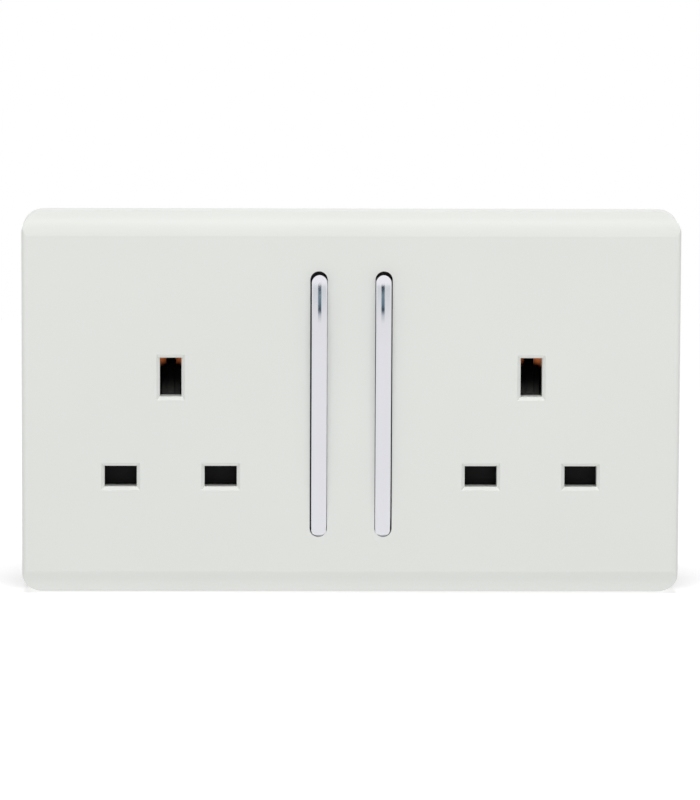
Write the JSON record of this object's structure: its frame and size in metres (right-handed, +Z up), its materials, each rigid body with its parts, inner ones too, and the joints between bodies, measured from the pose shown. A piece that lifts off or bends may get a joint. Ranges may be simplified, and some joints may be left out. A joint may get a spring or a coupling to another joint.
{
  "type": "twin wall socket",
  "caption": "Wide wall socket outlet with shuttered pin slots, slim chrome rocker switches and a plain white clip-on plate over a screw-fixed frame.",
  "frame": {"origin": "middle of the plate, on the surface of the wall", "axes": "+X right as seen from the front, +Y into the wall, +Z up"},
  "size_m": [0.146, 0.0342, 0.0854],
  "materials": {
    "white_plate": "smooth moulded gloss",
    "dark_moulding": "moulded matt",
    "rocker_moulding": "moulded satin",
    "black_shutter": "moulded satin",
    "chrome_bar": "bright plated",
    "brass": "pressed strip",
    "bronze_contact": "sprung bronze strip",
    "screw_steel": "zinc plated",
    "spring_steel": "drawn wire",
    "silver_contact": "plain silver"
  },
  "bodies": {
    "base": {"front_plate": "white_plate", "inner_frame": "dark_moulding", "rear_housing": "dark_moulding", "housing_screws": "screw_steel", "neutral_bar": "brass", "line_bar": "brass", "earth_bar": "brass", "terminal_screws": "screw_steel", "line_terminal": "brass", "neutral_terminal": "brass", "earth_terminal": "brass", "left_line_contact": "brass", "left_earth_contact": "bronze_contact", "left_fixed_contact": "silver_contact", "left_shutter_spring": "spring_steel", "right_line_contact": "brass", "right_earth_contact": "bronze_contact", "right_fixed_contact": "silver_contact", "right_shutter_spring": "spring_steel"},
    "left_rocker": {"left_rocker_bar": "chrome_bar", "left_rocker_dolly": "rocker_moulding", "left_plunger": "rocker_moulding", "left_plunger_spring": "spring_steel"},
    "left_arm": {"left_contact_arm": "brass", "left_moving_contact": "silver_contact"},
    "left_shutter_slider": {"left_shutter": "black_shutter"},
    "right_rocker": {"right_rocker_bar": "chrome_bar", "right_rocker_dolly": "rocker_moulding", "right_plunger": "rocker_moulding", "right_plunger_spring": "spring_steel"},
    "right_arm": {"right_contact_arm": "brass", "right_moving_contact": "silver_contact"},
    "right_shutter_slider": {"right_shutter": "black_shutter"}
  },
  "joints": [
    {"name": "left_switch", "type": "hinge", "parent": "base", "child": "left_rocker", "pos_m": [-0.0072, -0.0012, 0], "axis": [1, 0, 0], "range_deg": [-4, 0]},
    {"name": "left_arm_rock", "type": "hinge", "parent": "base", "child": "left_arm", "pos_m": [-0.0072, 0.0104, 0], "axis": [1, 0, 0], "range_deg": [0, 10]},
    {"name": "left_shutter_slide", "type": "slide", "parent": "base", "child": "left_shutter_slider", "axis": [0, 0, -1], "range_m": [0, 0.0058], "stiffness_N_per_m": 150, "springref_m": -0.01, "deforming": ["left_shutter_spring"]},
    {"name": "right_switch", "type": "hinge", "parent": "base", "child": "right_rocker", "pos_m": [0.0072, -0.0012, 0], "axis": [1, 0, 0], "range_deg": [-4, 0]},
    {"name": "right_arm_rock", "type": "hinge", "parent": "base", "child": "right_arm", "pos_m": [0.0072, 0.0104, 0], "axis": [1, 0, 0], "range_deg": [0, 10]},
    {"name": "right_shutter_slide", "type": "slide", "parent": "base", "child": "right_shutter_slider", "axis": [0, 0, -1], "range_m": [0, 0.0058], "stiffness_N_per_m": 150, "springref_m": -0.01, "deforming": ["right_shutter_spring"]}
  ],
  "couplings": [
    {"joint": "left_arm_rock", "follows": "left_switch", "ratio": -2.5},
    {"joint": "right_arm_rock", "follows": "right_switch", "ratio": -2.5}
  ]
}
